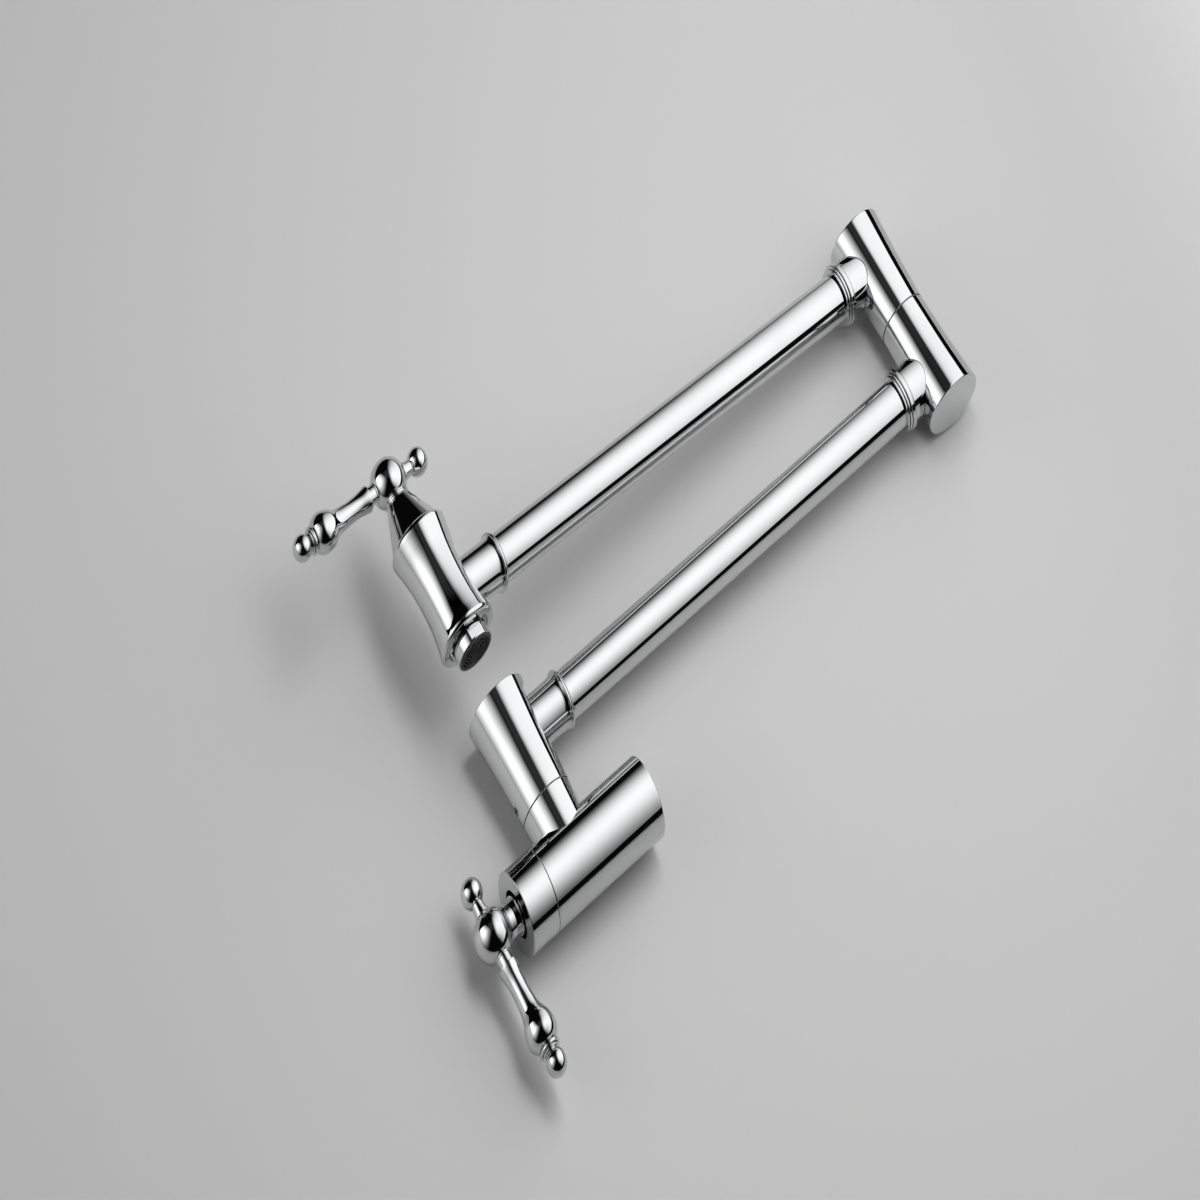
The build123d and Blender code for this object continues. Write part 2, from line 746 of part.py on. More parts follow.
aerator_foot = outlet_foot - aerator_drop
aerator_top = outlet_foot + recess_depth + aerator_thread_length - 2 * edge
with BuildPart() as aerator_shell:
    with BuildSketch(face_across(outlet_lathe, aerator_foot)):
        Circle(aerator_diameter / 2)
        Rectangle(aerator_flats, 2 * aerator_diameter, mode=Mode.INTERSECT)
    extrude(amount=aerator_drop + edge)
    rim = face_across(outlet_lathe, aerator_foot)
    with BuildSketch(rim):
        Circle(aerator_diameter / 2)
    extrude(amount=2 * edge)
    with BuildSketch(rim):
        Circle(aerator_thread / 2)
    extrude(amount=aerator_top - aerator_foot)
    with BuildSketch(rim):
        Circle(aerator_bore / 2)
    extrude(amount=aerator_top - aerator_foot, mode=Mode.SUBTRACT)
keep(aerator_shell.part, "aerator_shell")

with BuildPart() as aerator_screen:
    screen_start = aerator_foot + edge
    screen_radius = aerator_bore / 2 - seated
    with BuildSketch(face_across(outlet_lathe, screen_start + edge)):
        Circle(screen_radius)
    extrude(amount=screen_thickness)
    with BuildSketch(face_across(outlet_lathe, screen_start)):
        pitch = screen_radius / (screen_ribs + 0.5)
        for number in range(screen_ribs):
            ring_radius = screen_radius - number * pitch
            Circle(ring_radius)
            Circle(ring_radius - edge, mode=Mode.SUBTRACT)
            Circle(ring_radius - pitch, mode=Mode.SUBTRACT)
        Circle(edge)
    extrude(amount=edge)
keep(aerator_screen.part, "aerator_screen")

with BuildPart() as aerator_washer:
    washer_end = aerator_top + 2 * edge
    revolve(
        band(outlet_lathe, seat_bore / 2, aerator_thread / 2, aerator_top, washer_end),
        axis=turning_axis(outlet_lathe),
    )
keep(aerator_washer.part, "aerator_washer")


# ---- handles: a hub with a long lever and a short finial --------------------------------------------------------------
def make_handle(prefix, centre, stem, lever_way, skirt_reach, flanged):
    """A ball hub, flat at the back, that carries a turned lever on one side and a finial on the other."""
    hub_lathe = lathe(centre, stem, lever_way)
    across = stem.cross(lever_way)
    lever_lathe = lathe(centre, lever_way, across)
    finial_lathe = lathe(centre, -lever_way, across)
    hub_radius = hub_diameter / 2
    rim_radius = hub_rim_diameter / 2
    rim_height = sqrt(hub_radius**2 - rim_radius**2)
    back = hub_back

    with BuildPart() as hub:
        with BuildSketch(hub_lathe):
            with BuildLine():
                dome = ThreePointArc((rim_radius, -rim_height), (hub_radius, 0), (0, hub_radius))
                Polyline(dome @ 1, (0, -back), (rim_radius, -back), dome @ 0)
            make_face()
        revolve(axis=turning_axis(hub_lathe))
        skirt_radius = skirt_diameter / 2
        revolve(band(hub_lathe, 0, skirt_radius, -skirt_reach, -back), axis=turning_axis(hub_lathe))
        if flanged:
            flange_start = skirt_flange_reach - skirt_flange_width
            flange_radius = skirt_flange_diameter / 2
            flange = band(hub_lathe, 0, flange_radius, -skirt_flange_reach, -flange_start)
            revolve(flange, axis=turning_axis(hub_lathe))
            bore_end = skirt_bore_depth - skirt_reach
            bore = band(hub_lathe, 0, skirt_bore / 2, -skirt_reach, bore_end)
            revolve(bore, axis=turning_axis(hub_lathe), mode=Mode.SUBTRACT)
        stem_bore = band(hub_lathe, 0, spindle_radius + seated, -skirt_reach, -stem_depth)
        revolve(stem_bore, axis=turning_axis(hub_lathe), mode=Mode.SUBTRACT)
        for side in (lever_lathe, finial_lathe):
            stud_hole = band(side, 0, stud_diameter / 2 + seated, stud_start - edge, hub_diameter)
            revolve(stud_hole, axis=turning_axis(side), mode=Mode.SUBTRACT)
            seat = band(side, 0, lever_neck_diameter / 2 + seated, seat_reach, hub_diameter)
            revolve(seat, axis=turning_axis(side), mode=Mode.SUBTRACT)
    keep(hub.part, f"{prefix}_handle_hub")

    ball_radius = lever_ball_diameter / 2
    ball_neck_radius = lever_ball_neck / 2
    ball_start = lever_ball_reach - sqrt(ball_radius**2 - ball_neck_radius**2)
    ring_start = lever_bulb[-1][1] + edge
    ring_end = ring_start + lever_ring_width
    ring_crown = (lever_ring_diameter - lever_ring_width) / 2
    with BuildPart() as lever:
        with BuildSketch(lever_lathe):
            with BuildLine():
                shape = Spline(*lever_waist, *lever_bulb)
                ring = ThreePointArc(
                    (ring_crown, ring_start),
                    (ring_crown + lever_ring_width / 2, (ring_start + ring_end) / 2),
                    (ring_crown, ring_end),
                )
                ball = ThreePointArc(
                    (ball_neck_radius, ball_start),
                    (ball_radius, lever_ball_reach),
                    (0, lever_ball_reach + ball_radius),
                )
                Polyline(shape @ 1, (ball_neck_radius, ring_start), ring @ 0)
                Polyline(ring @ 1, (ball_neck_radius, ring_end), ball @ 0)
                Polyline(
                    ball @ 1,
                    (0, stud_start),
                    (stud_diameter / 2, stud_start),
                    (stud_diameter / 2, seat_reach),
                    (lever_neck_diameter / 2, seat_reach),
                    (lever_neck_diameter / 2, lever_shoulder_reach),
                    (lever_waist[0][0], lever_shoulder_reach),
                    shape @ 0,
                )
            make_face()
        revolve(axis=turning_axis(lever_lathe))
    keep(lever.part, f"{prefix}_lever")

    knob_radius = finial_ball_diameter / 2
    waist_radius = finial_waist_diameter / 2
    knob_start = finial_ball_reach - sqrt(knob_radius**2 - waist_radius**2)
    with BuildPart() as finial:
        with BuildSketch(finial_lathe):
            with BuildLine():
                knob = ThreePointArc(
                    (waist_radius, knob_start),
                    (knob_radius, finial_ball_reach),
                    (0, finial_ball_reach + knob_radius),
                )
                Polyline(
                    knob @ 1,
                    (0, stud_start),
                    (stud_diameter / 2, stud_start),
                    (stud_diameter / 2, seat_reach),
                    (finial_neck_diameter / 2, seat_reach),
                    (finial_neck_diameter / 2, seat_reach + finial_base_width),
                    knob @ 0,
                )
            make_face()
        revolve(axis=turning_axis(finial_lathe))
    keep(finial.part, f"{prefix}_finial")


wall_hub_centre = WALL_OUT * (cover_front + wall_hub_stand_off)
outlet_hub_centre = outlet_base + UP * (bonnet_top + outlet_hub_stand_off)
make_handle("wall", wall_hub_centre, WALL_OUT, -UP, wall_skirt_reach, flanged=True)
make_handle("outlet", outlet_hub_centre, UP, UPPER_BACK, outlet_skirt_reach, flanged=False)
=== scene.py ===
# %% [markdown]
# # A wall mounted pot filler, dressed
#
# The tap is a chain of turned brass pieces with a mirror-bright chrome plate: a wall body, two arms that
# swivel on upright pivots, and a lever valve at each end. The imported model fixes where every piece is. This
# file gives the pieces their finish, their fine edges and rings, and the studio around them.
#

# %% Load the imported model
import bpy, bmesh, json, math
from mathutils import Matrix, Vector
from mathutils.geometry import interpolate_bezier

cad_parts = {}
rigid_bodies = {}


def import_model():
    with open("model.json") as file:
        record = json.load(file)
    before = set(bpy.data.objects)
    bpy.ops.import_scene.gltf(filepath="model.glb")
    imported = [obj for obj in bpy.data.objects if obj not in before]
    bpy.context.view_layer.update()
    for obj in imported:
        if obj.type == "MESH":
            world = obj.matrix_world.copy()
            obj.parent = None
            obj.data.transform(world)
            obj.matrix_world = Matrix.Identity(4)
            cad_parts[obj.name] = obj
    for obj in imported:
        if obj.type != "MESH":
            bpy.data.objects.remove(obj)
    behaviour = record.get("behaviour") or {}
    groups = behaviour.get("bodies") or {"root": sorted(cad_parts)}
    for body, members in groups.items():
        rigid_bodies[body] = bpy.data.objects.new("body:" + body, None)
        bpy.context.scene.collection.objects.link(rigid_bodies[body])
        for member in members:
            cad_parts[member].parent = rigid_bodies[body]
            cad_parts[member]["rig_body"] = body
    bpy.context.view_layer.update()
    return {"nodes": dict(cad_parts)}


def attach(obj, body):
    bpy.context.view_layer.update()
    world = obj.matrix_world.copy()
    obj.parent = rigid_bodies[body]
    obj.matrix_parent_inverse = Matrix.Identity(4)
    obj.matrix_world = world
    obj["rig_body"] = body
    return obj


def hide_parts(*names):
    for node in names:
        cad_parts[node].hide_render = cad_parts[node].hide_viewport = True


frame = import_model()
MM = 0.001

# %% [markdown]
# ## The camera
#
# The photograph was squeezed to two thirds of its width, so its balls are upright ovals. Blender gives a
# camera square pixels, and stretching the object instead would spoil it. A camera can be sheared, though:
# when its own up axis leans back towards the viewer, heights in the picture grow while widths stay. An up
# axis made of two thirds up and the rest backwards draws every height one and a half times as tall. No
# single object holds a shear, so the camera hangs on an empty that is stretched along the line halfway
# between the two axes and shrunk across it, and is turned an eighth of a turn inside it.

# %% Camera rig
VIEW_AZIMUTH = 66.83
VIEW_ELEVATION = -21.29
VIEW_ROLL = -39.07
EYE = Vector((4189.5, -1763.8, -1689.6)) * MM
SQUEEZE = 2 / 3
LENS = 246.47


def view_axes(azimuth, elevation, roll):
    """The picture's right, up and backward directions in the model's frame."""
    a, e, r = (math.radians(angle) for angle in (azimuth, elevation, roll))
    backward = Vector((math.sin(a) * math.cos(e), -math.cos(a) * math.cos(e), math.sin(e)))
    level = Vector((math.cos(a), math.sin(a), 0))
    upright = backward.cross(level)
    right = level * math.cos(r) + upright * math.sin(r)
    up = upright * math.cos(r) - level * math.sin(r)
    return right, up, backward


def link(thing):
    bpy.context.scene.collection.objects.link(thing)
    return thing


right, up, backward = view_axes(VIEW_AZIMUTH, VIEW_ELEVATION, VIEW_ROLL)
lean = math.sqrt(1 - SQUEEZE**2)
leaning_up = up * SQUEEZE + backward * lean
long_way = (leaning_up + backward).normalized()
short_way = (leaning_up - backward).normalized()
rig = link(bpy.data.objects.new("camera_rig", None))
rig.matrix_world = Matrix.LocRotScale(
    EYE,
    Matrix((right, short_way, long_way)).transposed(),
    Vector((1, math.sqrt(1 - lean), math.sqrt(1 + lean))),
)
camera = link(bpy.data.objects.new("camera", bpy.data.cameras.new("camera")))
camera.parent = rig
camera.rotation_euler.x = math.radians(45)
camera.data.sensor_width = 36
camera.data.lens = LENS
camera.data.clip_end = 50
bpy.context.scene.camera = camera
bpy.context.view_layer.update()
print("camera axes:", [tuple(round(v, 3) for v in col) for col in camera.matrix_world.col])

# %% [markdown]
# ## The studio
#
# A mirror finish shows the room, not itself, so the room is built with as much care as the tap. Two large
# soft boxes stand on its two sides, and the dark gap between them draws the stripe along every barrel. They
# could be area lamps, but a lamp gives no fade towards its borders, and the long soft bands on the tubes come
# from exactly that fade. So each box is a glowing card whose light fades by its own UV map.

# %% Soft boxes
GLOW = 3.0
FLOOR_X = -0.0196
FLOOR_GREY = 0.60
ROOM_GREY = 0.011


def grey(level):
    return (level, level, level, 1)


def new_material(name):
    material = bpy.data.materials.new(name)
    material.use_nodes = True
    nodes, links = material.node_tree.nodes, material.node_tree.links
    return material, nodes, links, nodes["Principled BSDF"]


def link_mesh(name, bm):
    mesh = bpy.data.meshes.new(name)
    bm.to_mesh(mesh)
    bm.free()
    return link(bpy.data.objects.new(name, mesh))


def glow_material(name, fades, glow, foot_level):
    """White light with a fade at each border: left, right, bottom and top, as shares of the card."""
    material = bpy.data.materials.new(name)
    material.use_nodes = True
    nodes, links = material.node_tree.nodes, material.node_tree.links
    nodes.clear()
    place = nodes.new("ShaderNodeUVMap")
    parts = nodes.new("ShaderNodeSeparateXYZ")
    links.new(place.outputs["UV"], parts.inputs[0])
    level = None
    for axis, low, high in (("X", fades[0], fades[1]), ("Y", fades[2], fades[3])):
        for start, end in ((0, low), (1, 1 - high)):
            fade = nodes.new("ShaderNodeMapRange")
            fade.interpolation_type = "SMOOTHSTEP"
            fade.inputs["From Min"].default_value = start
            fade.inputs["From Max"].default_value = end
            fade.inputs["To Max"].default_value = glow if level is None else 1
            if (axis, start) == ("Y", 0):
                fade.inputs["To Min"].default_value = foot_level
            links.new(parts.outputs[axis], fade.inputs["Value"])
            if level is None:
                level = fade.outputs[0]
                continue
            product = nodes.new("ShaderNodeMath")
            product.operation = "MULTIPLY"
            links.new(level, product.inputs[0])
            links.new(fade.outputs[0], product.inputs[1])
            level = product.outputs[0]
    light = nodes.new("ShaderNodeEmission")
    links.new(level, light.inputs["Strength"])
    out = nodes.new("ShaderNodeOutputMaterial")
    links.new(light.outputs[0], out.inputs["Surface"])
    return material


def soft_box(name, foot, rise, fades, reach=1.0, glow=GLOW, foot_level=0.0):
    """A glowing card: its foot runs between two places, and its sides lean the way it rises.

    The reach cuts the far end off before its fade is over, which leaves a crisp border there. The foot level
    is the share of the light that is left at the foot, where the card meets the pale surface.
    """
    first, second = (Vector(end) for end in foot)
    second = first.lerp(second, reach)
    across, along = (second - first) / 2, Vector(rise) / 2
    centre = (first + second) / 2 + along
    bm = bmesh.new()
    shares = bm.loops.layers.uv.new("UVMap")
    bmesh.ops.create_grid(bm, x_segments=8, y_segments=8, size=1, calc_uvs=True)
    for face in bm.faces:
        for corner in face.loops:
            corner[shares].uv.x *= reach
    lean = Matrix((across, along, across.cross(along).normalized())).transposed().to_4x4()
    bmesh.ops.transform(bm, matrix=Matrix.Translation(centre) @ lean, verts=bm.verts)
    card = link_mesh(name, bm)
    card.data.materials.append(glow_material(name, fades, glow, foot_level))
    card.visible_camera = False
    print(f"{name}: {2 * across.length:.1f} x {2 * along.length:.1f} m, {centre.length:.1f} m away")


soft_box(
    "left_soft_box",
    foot=((0, -2.26, 2.13), (0, -1.155, -0.783)),
    rise=(2.606, 0.68, 0.715),
    fades=(0.02, 0.45, 0.35, 1.09),
    foot_level=0.2,
)
soft_box(
    "right_soft_box",
    foot=((0, 0.853, 1.622), (0.42, 0.386, -1.666)),
    rise=(2.7, -0.73, -0.13),
    fades=(0.70, 0.86, 0.005, 0.69),
    reach=0.95,
)

# %% [markdown]
# ## The room
#
# Between the boxes the chrome shows a charcoal stripe, and beyond them it is black. One faint card far
# behind the camera is the charcoal wall, and a dark shell is the unlit room. A lamp that mirrors cannot see
# fills the shadows, so the pale surface comes out about as pale as its colour is written. The tap lies on
# its side on that surface, as in the photograph, which in the mounted frame is an upright plane behind it.

# %% Wall behind the camera
WALL_GLOW = 0.035
soft_box(
    "back_wall",
    foot=((6.4, -3.65, -0.3), (6.4, 2.15, -0.3)),
    rise=(0, 0, 6),
    fades=(0.05, 0.05, 0.01, 0.5),
    glow=WALL_GLOW,
)

# %% Fill light
FILL_WATTS = 34
FILL_SIZE = 1.6
fill = link(bpy.data.objects.new("fill_light", bpy.data.lights.new("fill_light", "AREA")))
fill.data.shape = "DISK"
fill.data.size = FILL_SIZE
fill.data.energy = FILL_WATTS
fill.location = (1.15, 0.85, 0.1)
fill.rotation_euler = (0, math.pi / 2, 0)
fill.visible_glossy = False
print(f"fill light: {FILL_WATTS} W, {FILL_SIZE} m across")

# %% Dark room and pale surface
ROOM_RADIUS = 9
FLOOR_HALF = 4
FLOOR_MIDDLE = (FLOOR_X, 0.1, 0.06)
bm = bmesh.new()
bmesh.ops.create_icosphere(bm, subdivisions=4, radius=ROOM_RADIUS)
cut = bm.verts[:] + bm.edges[:] + bm.faces[:]
bmesh.ops.bisect_plane(bm, geom=cut, plane_co=(FLOOR_X, 0, 0), plane_no=(1, 0, 0), clear_inner=True)
dark_room = link_mesh("dark_room", bm)
dark, nodes, links, shader = new_material("dark_room")
shader.inputs["Base Color"].default_value = grey(ROOM_GREY)
shader.inputs["Roughness"].default_value = 1
shader.inputs["Specular IOR Level"].default_value = 0
dark_room.data.materials.append(dark)
dark_room.visible_camera = False

bm = bmesh.new()
bmesh.ops.create_grid(bm, x_segments=1, y_segments=1, size=FLOOR_HALF)
bmesh.ops.rotate(bm, verts=bm.verts, matrix=Matrix.Rotation(math.pi / 2, 3, "Y"))
bmesh.ops.translate(bm, verts=bm.verts, vec=FLOOR_MIDDLE)
floor = link_mesh("floor", bm)
pale, nodes, links, shader = new_material("pale_floor")
shader.inputs["Base Color"].default_value = grey(FLOOR_GREY)
shader.inputs["Roughness"].default_value = 0.4
# the back of the surface lets a viewer behind it see the tap
side = nodes.new("ShaderNodeNewGeometry")
clear = nodes.new("ShaderNodeBsdfTransparent")
either = nodes.new("ShaderNodeMixShader")
links.new(side.outputs["Backfacing"], either.inputs["Fac"])
links.new(shader.outputs[0], either.inputs[1])
links.new(clear.outputs[0], either.inputs[2])
links.new(either.outputs[0], nodes["Material Output"].inputs["Surface"])
floor.data.materials.append(pale)
print("floor normal:", tuple(round(v, 3) for v in floor.data.polygons[0].normal))

world = bpy.data.worlds.new("room")
world.use_nodes = True
world.node_tree.nodes["Background"].inputs["Color"].default_value = grey(FLOOR_GREY)
bpy.context.scene.world = world
bpy.context.scene.view_settings.view_transform = "Standard"

# %% [markdown]
# ## Finishes
#
# Every finish is a small set of numbers: two tones, how metallic, how rough, and how fine its grain is.
# Cloudy noise drifts between the two tones and between two roughnesses, the way handling and polishing leave
# a real surface slightly uneven, and a finer noise lifts it a little as bump. The noise reads object
# coordinates. All pieces stand in the model's own frame, so it never stretches with a piece's size.

# %% Surface recipe
def cloud(nodes, links, place, scale, low, high, detail=3):
    """Cloudy noise spread between two values."""
    noise = nodes.new("ShaderNodeTexNoise")
    noise.inputs["Scale"].default_value = scale
    noise.inputs["Detail"].default_value = detail
    links.new(place, noise.inputs["Vector"])
    spread = nodes.new("ShaderNodeMapRange")
    spread.inputs["From Min"].default_value = 0.3
    spread.inputs["From Max"].default_value = 0.7
    spread.inputs["To Min"].default_value = low
    spread.inputs["To Max"].default_value = high
    links.new(noise.outputs["Fac"], spread.inputs["Value"])
    return spread.outputs[0]


def surface(name, tones, metallic, roughness, patches, grain, relief):
    """A finish with uneven tone and roughness and a fine bump; patches and grain count features per metre."""
    material, nodes, links, shader = new_material(name)
    place = nodes.new("ShaderNodeTexCoord").outputs["Object"]
    blend = nodes.new("ShaderNodeMix")
    blend.data_type = "RGBA"
    for socket, tone in zip(("A_Color", "B_Color"), tones):
        next(s for s in blend.inputs if s.identifier == socket).default_value = (*tone, 1)
    links.new(cloud(nodes, links, place, patches, 0, 1), blend.inputs["Factor"])
    links.new(next(s for s in blend.outputs if s.identifier == "Result_Color"), shader.inputs["Base Color"])
    links.new(cloud(nodes, links, place, patches * 2.3, *roughness, detail=6), shader.inputs["Roughness"])
    bump = nodes.new("ShaderNodeBump")
    bump.inputs["Strength"].default_value = relief
    bump.inputs["Distance"].default_value = 0.1 * MM
    links.new(cloud(nodes, links, place, grain, 0, 1, detail=2), bump.inputs["Height"])
    links.new(bump.outputs[0], shader.inputs["Normal"])
    shader.inputs["Metallic"].default_value = metallic
    print(f"{name}: roughness {roughness[0]} to {roughness[1]}")
    return material


# %% All finishes
# slot: name, two tones, metallic, roughness, patches, grain, relief
# bright chrome gives back about two thirds of the light, a touch cooler than neutral
recipes = {
    "chrome": (
        "chrome_plate", ((0.62, 0.626, 0.632), (0.66, 0.664, 0.668)), 1, (0.008, 0.03), 30, 260, 0.01,
    ),
    "brass": (
        "machined_brass", ((0.62, 0.42, 0.16), (0.72, 0.52, 0.23)), 1, (0.22, 0.38), 90, 1800, 0.25,
    ),
    "rubber": (
        "black_rubber", ((0.018, 0.018, 0.018), (0.03, 0.03, 0.03)), 0, (0.55, 0.75), 120, 2600, 0.3,
    ),
    "ceramic": (
        "ceramic_disc", ((0.78, 0.77, 0.73), (0.84, 0.83, 0.80)), 0, (0.12, 0.22), 150, 2200, 0.1,
    ),
    "steel": (
        "stainless_steel", ((0.50, 0.50, 0.49), (0.58, 0.57, 0.56)), 1, (0.25, 0.4), 140, 2400, 0.25,
    ),
    "washer_plastic": (
        "washer_plastic", ((0.72, 0.71, 0.67), (0.80, 0.79, 0.76)), 0, (0.4, 0.55), 110, 1500, 0.15,
    ),
    "screen_plastic": (
        "screen_plastic", ((0.014, 0.014, 0.015), (0.024, 0.024, 0.026)), 0, (0.3, 0.45), 160, 2000, 0.2,
    ),
}
finishes = {slot: surface(*recipe) for slot, recipe in recipes.items()}
for node in frame["nodes"].values():
    for place in node.material_slots:
        place.material = finishes[place.material.name.split(".")[0]]
print("finished nodes:", len(frame["nodes"]))

# %% [markdown]
# ## Turning helpers
#
# Nearly every piece of a tap comes off a lathe, so one helper does the turning. Blender could revolve a
# curve with a Screw modifier, but a bmesh spin gives a plain mesh at once, ready to be cut or joined. The
# outline starts as a handful of corner vertices. A vertex bevel rounds the corners, an arc comes from
# spinning the last vertex round its centre, and a swelling side is a smooth curve through a few measured
# places. Then the whole outline is spun round the lathe's axis.

# %% Lathes
UP = Vector((0, 0, 1))
OUT = Vector((0, -1, 0))
FOLD = math.radians(5.5)
UPPER_BACK = Vector((math.sin(FOLD), -math.cos(FOLD), 0))
POST = Vector((0, -51, 0))
ELBOW = Vector((0, 268, 0))
LOWER_REACH = 319.0
UPPER_REACH = 329.0
OUTLET = ELBOW + UPPER_BACK * UPPER_REACH
LOWER_HEIGHT = 62.0
UPPER_HEIGHT = 122.4
SPIN_STEPS = 180
RING_STEP = 1.5
SHARP_ANGLE = math.radians(28)


def lathe(origin, axis, radial):
    """A matrix that puts an outline's X along the radius and its Z along the turning axis."""
    turn = Matrix((radial, axis.cross(radial), axis)).transposed().to_4x4()
    return Matrix.Translation(origin * MM) @ turn


wall_lathe = lathe(Vector((0, 0, 0)), OUT, UP.cross(OUT))
post_lathe = lathe(POST, UP, OUT)
lower_lathe = lathe(POST + UP * LOWER_HEIGHT, -OUT, UP)
lower_socket_lathe = lathe(ELBOW + UP * LOWER_HEIGHT, OUT, UP)
elbow_lathe = lathe(ELBOW, UP, OUT)
upper_socket_lathe = lathe(ELBOW + UP * UPPER_HEIGHT, UPPER_BACK, UP)
upper_lathe = lathe(OUTLET + UP * UPPER_HEIGHT, -UPPER_BACK, UP)
outlet_lathe = lathe(OUTLET, UP, UPPER_BACK)
print("outlet axis at", tuple(round(v, 2) for v in OUTLET))


# %% Outlines
def arc(radius, along, degrees):
    """Carries the outline on round a centre; a positive angle turns from outwards towards forwards."""
    return ("arc", radius, along, degrees)


def through(*places):
    """Carries the outline on from where it is, along a smooth curve through (radius, along) places."""
    return ("curve", *places)


def curve_places(places):
    """Short steps along a curve that runs, at each place, parallel to the line between its neighbours."""
    knots = [Vector((radius, 0, along)) for radius, along in places]
    last = len(knots) - 1
    ways = [(knots[min(i + 1, last)] - knots[max(i - 1, 0)]).normalized() for i in range(last + 1)]
    steps = []
    for i in range(last):
        start, end = knots[i], knots[i + 1]
        reach = (end - start).length
        count = max(2, round(reach / RING_STEP))
        steps += interpolate_bezier(
            start, start + ways[i] * reach / 3, end - ways[i + 1] * reach / 3, end, count + 1
        )[1:]
    return steps


def draw_outline(bm, outline, loop):
    """Corner vertices joined by edges, with a rounding where a corner gives one."""
    rounded, chain = [], []

    def add(place):
        vertex = bm.verts.new(place * MM)
        if chain:
            bm.edges.new((chain[-1], vertex))
        chain.append(vertex)

    for step in outline:
        if step[0] == "arc":
            _, radius, along, degrees = step
            turned = bmesh.ops.spin(
                bm,
                geom=[chain[-1]],
                cent=(radius * MM, 0, along * MM),
                axis=(0, -1, 0),
                angle=math.radians(degrees),
                steps=max(4, round(abs(degrees) / 5)),
            )
            chain.append(turned["geom_last"][0])
        elif step[0] == "curve":
            start = (chain[-1].co.x / MM, chain[-1].co.z / MM)
            for place in curve_places([start, *(place[:2] for place in step[1:])]):
                add(place)
            if len(step[-1]) == 3:
                rounded.append((chain[-1], step[-1][2]))
        else:
            add(Vector((step[0], 0, step[1])))
            if len(step) == 3:
                rounded.append((chain[-1], step[2]))
    if loop:
        bm.edges.new((chain[-1], chain[0]))
    for vertex, rounding in rounded:
        bmesh.ops.bevel(
            bm,
            geom=[vertex],
            offset=rounding * MM,
            offset_type="OFFSET",
            affect="VERTICES",
            segments=4 if rounding < 1 else 8,
            profile=0.5,
            material=-1,
        )


# %% Turning and shading
def turned_mesh(place, outline, loop=False, steps=SPIN_STEPS):
    """The outline rounded, spun once round and set in its place."""
    bm = bmesh.new()
    draw_outline(bm, outline, loop)
    bmesh.ops.spin(
        bm,
        geom=bm.verts[:] + bm.edges[:],
        cent=(0, 0, 0),
        axis=(0, 0, 1),
        angle=math.tau,
        steps=steps,
        use_merge=True,
    )
    bmesh.ops.remove_doubles(bm, verts=bm.verts, dist=1e-6)
    bmesh.ops.recalc_face_normals(bm, faces=bm.faces)
    bmesh.ops.transform(bm, matrix=place, verts=bm.verts)
    return bm


def shade(bm):
    """Smooth faces, with a crisp line wherever two of them meet at an angle."""
    for face in bm.faces:
        face.smooth = True
    for line in bm.edges:
        line.smooth = len(line.link_faces) == 2 and line.calc_face_angle(0) < SHARP_ANGLE


def finish_piece(name, bm, body, slot, *nodes):
    """Shades the piece, gives it its finish and hands it to the frame."""
    shade(bm)
    piece = link_mesh(name, bm)
    piece.data.materials.append(finishes[slot])
    # big faces lead the shading, so a small rounding never bends the reflection on the side beside it
    weighted = piece.modifiers.new("even_shading", "WEIGHTED_NORMAL")
    weighted.keep_sharp = True
    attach(piece, body)
    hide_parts(*nodes)
    print(f"{name}: {len(piece.data.polygons)} faces")


def cut_mesh(bm, *others, operation="DIFFERENCE"):
    """Cuts or joins meshes with a Boolean modifier, and takes the result as a plain mesh again."""
    base = link_mesh("base", bm)
    for other in others:
        tool = link_mesh("tool", other)
        step = base.modifiers.new(operation, "BOOLEAN")
        step.operation = operation
        step.solver = "EXACT"
        step.object = tool
    shape = base.evaluated_get(bpy.context.evaluated_depsgraph_get())
    result = bmesh.new()
    result.from_mesh(shape.to_mesh())
    shape.to_mesh_clear()
    for step in list(base.modifiers):
        bpy.data.objects.remove(step.object)
    bpy.data.objects.remove(base)
    bmesh.ops.remove_doubles(result, verts=result.verts, dist=2e-6)
    bmesh.ops.dissolve_degenerate(result, dist=1e-6, edges=result.edges)
    return result


def polished(node, place, outline, body, loop=False):
    """One turned chrome piece that stands for a CAD node."""
    finish_piece(f"{node}_polished", turned_mesh(place, outline, loop), body, "chrome", node)


# %% [markdown]
# ## Wall body and cover
#
# The wall body is a plain cylinder with a threaded inlet at the wall end and a short stub that carries the
# post. Joining the two with a union draws their true line of meeting, which a mirror finish shows clearly.
# The front cover is its own piece, so a fine dark seam runs round the body as in the photograph.

# %% Wall body
WALL_RADIUS = 18.0
WALL_LENGTH = 75.0
SEAM_HEIGHT = 28.4
POST_SEAM_RADIUS = 16.3

